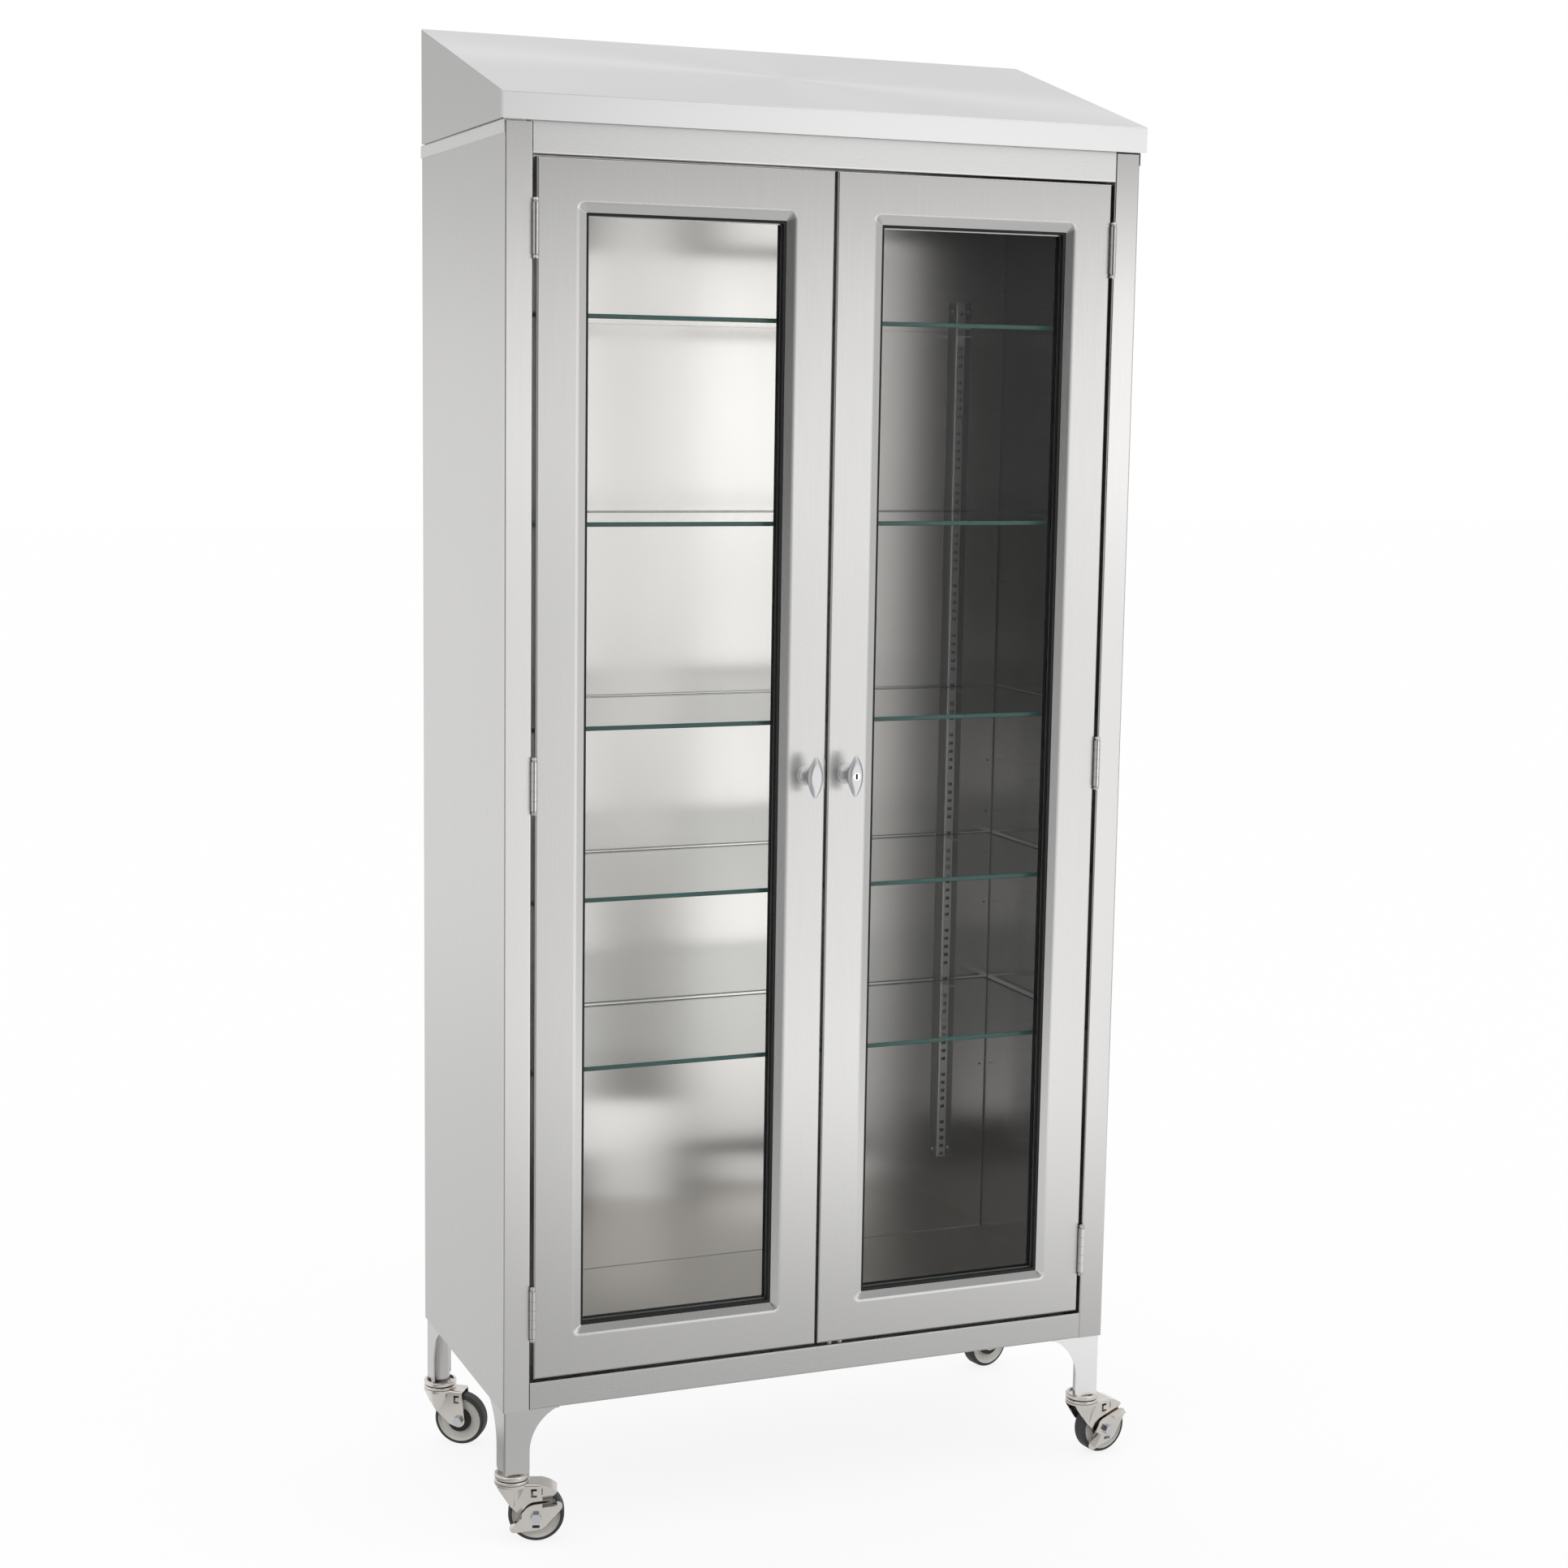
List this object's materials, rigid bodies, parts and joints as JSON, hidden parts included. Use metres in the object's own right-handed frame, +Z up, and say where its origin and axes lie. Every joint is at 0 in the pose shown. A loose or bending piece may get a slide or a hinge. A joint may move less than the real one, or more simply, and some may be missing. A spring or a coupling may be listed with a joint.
{
  "type": "glazed stainless steel cabinet on casters",
  "caption": "Tall stainless steel cabinet with hinged glazed doors, glass shelves, a sloping hood, pressed legs and swivel casters with brakes.",
  "frame": {"origin": "on the floor, in the middle of the whole footprint with knobs and trailing casters", "axes": "+Z up, doors face -Y, +X to the right as seen from the front"},
  "size_m": [0.9728, 0.4552, 2.0439],
  "materials": {
    "stainless": "satin, vertical grain",
    "hinge_steel": "satin",
    "knob_satin": "satin plated",
    "plug_nickel": "bright",
    "small_hardware": "zinc plated",
    "caster_nickel": "bright nickel plate",
    "zinc_bolt": "bright zinc",
    "shelf_glass": "clear, green edge",
    "pane_glass": "clear",
    "gasket_rubber": "matt black",
    "tyre_rubber": "dark grey",
    "hub_plastic": "cream, black centre boss"
  },
  "bodies": {
    "cabinet": {"side_left": "stainless", "side_right": "stainless", "back_panel": "stainless", "base_pan": "stainless", "floor_panel": "stainless", "top_cap": "stainless", "top_rail": "stainless", "hood_sheet": "stainless", "hood_end_left": "stainless", "hood_end_right": "stainless", "leg_front_left": "stainless", "leg_front_right": "stainless", "leg_rear_left": "stainless", "leg_rear_right": "stainless", "leg_sockets": "stainless", "caster_stems": "caster_nickel", "shelf_standards": "stainless", "standard_screws": "small_hardware", "shelf_clips": "small_hardware", "shelf_1": "shelf_glass", "shelf_2": "shelf_glass", "shelf_3": "shelf_glass", "shelf_4": "shelf_glass", "shelf_5": "shelf_glass", "hinge_frame_leaves": "hinge_steel", "hinge_pins": "hinge_steel", "ledge_studs": "small_hardware"},
    "left_door": {"left_door_skin": "stainless", "left_door_liner": "stainless", "left_gasket": "gasket_rubber", "left_glass": "pane_glass", "left_hinge_leaves": "hinge_steel", "left_knob": "knob_satin", "left_strike": "small_hardware"},
    "right_door": {"right_door_skin": "stainless", "right_door_liner": "stainless", "right_gasket": "gasket_rubber", "right_glass": "pane_glass", "right_hinge_leaves": "hinge_steel"},
    "right_knob": {"right_knob": "knob_satin", "latch_arm": "small_hardware"},
    "key_plug": {"key_plug": "plug_nickel"},
    "front_left_caster": {"front_left_fork": "caster_nickel", "front_left_axle": "zinc_bolt"},
    "front_left_wheel": {"front_left_hub": "hub_plastic", "front_left_tyre": "tyre_rubber"},
    "front_left_brake": {"front_left_brake": "caster_nickel"},
    "front_right_caster": {"front_right_fork": "caster_nickel", "front_right_axle": "zinc_bolt"},
    "front_right_wheel": {"front_right_hub": "hub_plastic", "front_right_tyre": "tyre_rubber"},
    "front_right_brake": {"front_right_brake": "caster_nickel"},
    "rear_left_caster": {"rear_left_fork": "caster_nickel", "rear_left_axle": "zinc_bolt"},
    "rear_left_wheel": {"rear_left_hub": "hub_plastic", "rear_left_tyre": "tyre_rubber"},
    "rear_right_caster": {"rear_right_fork": "caster_nickel", "rear_right_axle": "zinc_bolt"},
    "rear_right_wheel": {"rear_right_hub": "hub_plastic", "rear_right_tyre": "tyre_rubber"}
  },
  "joints": [
    {"name": "left_door_swing", "type": "hinge", "parent": "cabinet", "child": "left_door", "pos_m": [-0.44061, -0.19508, 1.0369], "axis": [0, 0, -1], "range_deg": [0, 175]},
    {"name": "right_door_swing", "type": "hinge", "parent": "cabinet", "child": "right_door", "pos_m": [0.39319, -0.19508, 1.0369], "axis": [0, 0, 1], "range_deg": [0, 175]},
    {"name": "right_knob_turn", "type": "hinge", "parent": "right_door", "child": "right_knob", "pos_m": [0.00579, -0.19158, 1.0369], "axis": [0, -1, 0], "range_deg": [0, 90]},
    {"name": "key_turn", "type": "hinge", "parent": "right_knob", "child": "key_plug", "pos_m": [0.00579, -0.22158, 1.0369], "axis": [0, -1, 0], "range_deg": [0, 90]},
    {"name": "front_left_swivel", "type": "hinge", "parent": "cabinet", "child": "front_left_caster", "pos_m": [-0.46241, -0.17308, 0.085], "axis": [0, 0, 1], "continuous": true},
    {"name": "front_left_spin", "type": "hinge", "parent": "front_left_caster", "child": "front_left_wheel", "pos_m": [-0.43103, -0.18327, 0.0381], "axis": [0.309, 0.9511, 0], "continuous": true},
    {"name": "front_left_brake_rock", "type": "hinge", "parent": "front_left_caster", "child": "front_left_brake", "pos_m": [-0.43103, -0.18327, 0.0381], "axis": [0.309, 0.9511, 0], "range_deg": [0, 15]},
    {"name": "front_right_swivel", "type": "hinge", "parent": "cabinet", "child": "front_right_caster", "pos_m": [0.41499, -0.17308, 0.085], "axis": [0, 0, 1], "continuous": true},
    {"name": "front_right_spin", "type": "hinge", "parent": "front_right_caster", "child": "front_right_wheel", "pos_m": [0.44767, -0.16848, 0.0381], "axis": [-0.1392, 0.9903, 0], "continuous": true},
    {"name": "front_right_brake_rock", "type": "hinge", "parent": "front_right_caster", "child": "front_right_brake", "pos_m": [0.44767, -0.16848, 0.0381], "axis": [-0.1392, 0.9903, 0], "range_deg": [0, 15]},
    {"name": "rear_left_swivel", "type": "hinge", "parent": "cabinet", "child": "rear_left_caster", "pos_m": [-0.46241, 0.19632, 0.085], "axis": [0, 0, 1], "continuous": true},
    {"name": "rear_left_spin", "type": "hinge", "parent": "rear_left_caster", "child": "rear_left_wheel", "pos_m": [-0.43538, 0.1774, 0.0381], "axis": [0.5736, 0.8192, 0], "continuous": true},
    {"name": "rear_right_swivel", "type": "hinge", "parent": "cabinet", "child": "rear_right_caster", "pos_m": [0.41499, 0.19632, 0.085], "axis": [0, 0, 1], "continuous": true},
    {"name": "rear_right_spin", "type": "hinge", "parent": "rear_right_caster", "child": "rear_right_wheel", "pos_m": [0.44687, 0.20487, 0.0381], "axis": [-0.2588, 0.9659, 0], "continuous": true}
  ]
}
